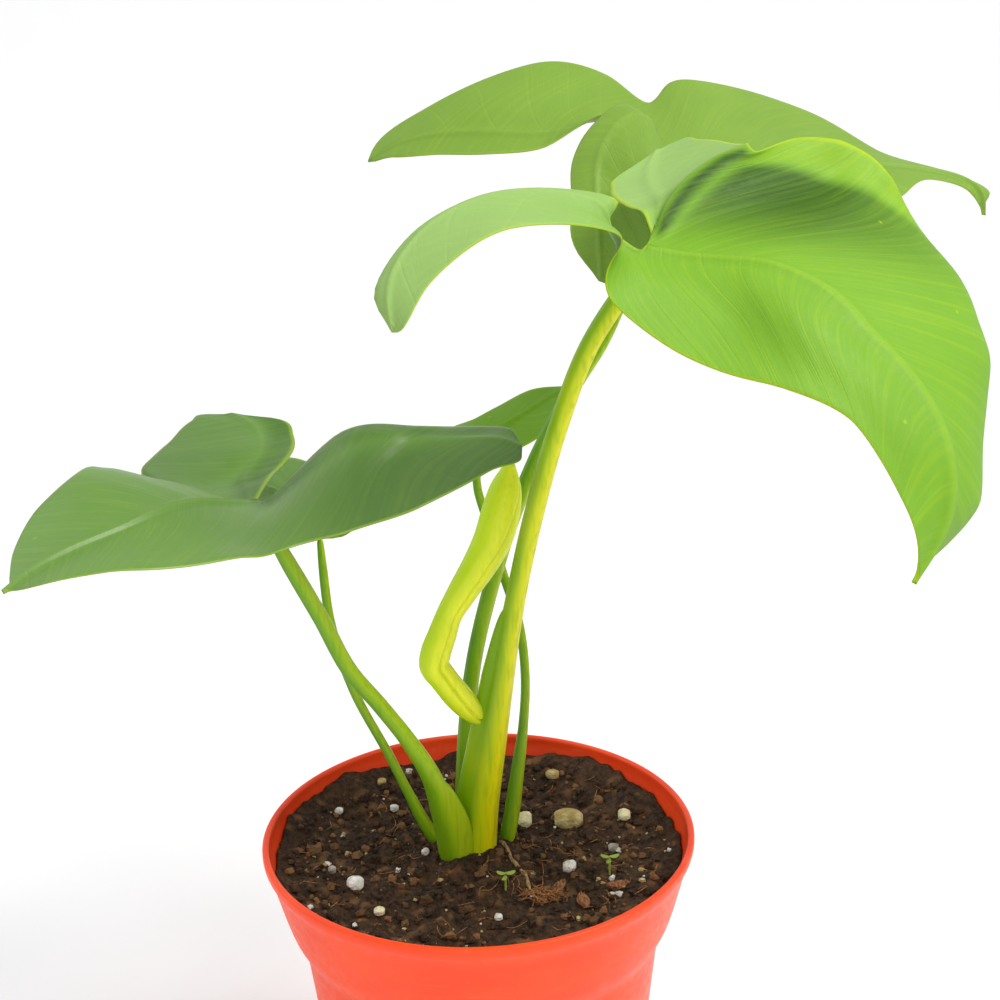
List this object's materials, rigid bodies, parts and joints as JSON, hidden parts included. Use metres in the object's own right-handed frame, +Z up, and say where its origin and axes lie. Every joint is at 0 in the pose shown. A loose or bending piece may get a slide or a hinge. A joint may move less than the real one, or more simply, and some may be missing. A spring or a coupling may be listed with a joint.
{
  "type": "potted philodendron",
  "caption": "Young philodendron with three-lobed, downcurving leaves on long sheathed stalks and one rolled new leaf, growing in peat soil in a round orange-red nursery pot.",
  "frame": {"origin": "centre of the pot's flat underside", "axes": "+Z up, the way the pot stands; -Y towards the side that the front leaf leans to, +X towards the side of the two tall leaves' tips"},
  "size_m": [0.2632, 0.1903, 0.3005],
  "materials": {
    "pot_plastic": "orange-red moulded plastic with a soft satin sheen",
    "soil": "dark brown moist peat with fibres and crumbs, matte",
    "stem": "pale brown stem base with leaf scars, matte",
    "root": "tan root, fibrous and matte",
    "stalk": "smooth yellow-green stalk, satin",
    "young_leaf": "bright yellow-green rolled new leaf, satin",
    "leaf_bright": "bright green leaf with pale veins and a yellow-green edge, satin",
    "leaf_pale": "paler green leaf with pale veins, satin",
    "leaf_deep": "deeper green leaf with a grey sheen and a yellow-green edge, satin",
    "pebble": "cream and tan grit, matte",
    "perlite": "white expanded mineral crumbs, matte",
    "bark": "orange-brown bark splinter, fibrous and matte",
    "shoot": "fresh green seedling, satin"
  },
  "bodies": {
    "root": {"pot": "pot_plastic", "soil": "soil", "stem_crown": "stem", "root_north": "root", "root_west": "root", "root_south": "root", "root_east": "root", "stalk_front": "stalk", "stalk_back": "stalk", "stalk_left": "stalk", "stalk_left_rear": "stalk", "stalk_rear": "stalk", "rolled_leaf": "young_leaf", "dry_root": "root", "blade_front": "leaf_bright", "blade_left": "leaf_deep", "blade_back": "leaf_pale", "blade_rear": "leaf_pale", "blade_left_rear": "leaf_deep", "pebble_cream": "pebble", "pebble_large": "pebble", "pebble_right": "pebble", "pebble_back": "pebble", "pebble_side": "pebble", "pebble_left": "pebble", "pebble_front": "pebble", "pebble_edge": "pebble", "perlite_right": "perlite", "perlite_left": "perlite", "perlite_back": "perlite", "perlite_far": "perlite", "perlite_front": "perlite", "perlite_near": "perlite", "bark_centre": "bark", "bark_front": "bark", "bark_right": "bark", "shoot_right": "shoot", "shoot_front": "shoot"}
  },
  "joints": []
}
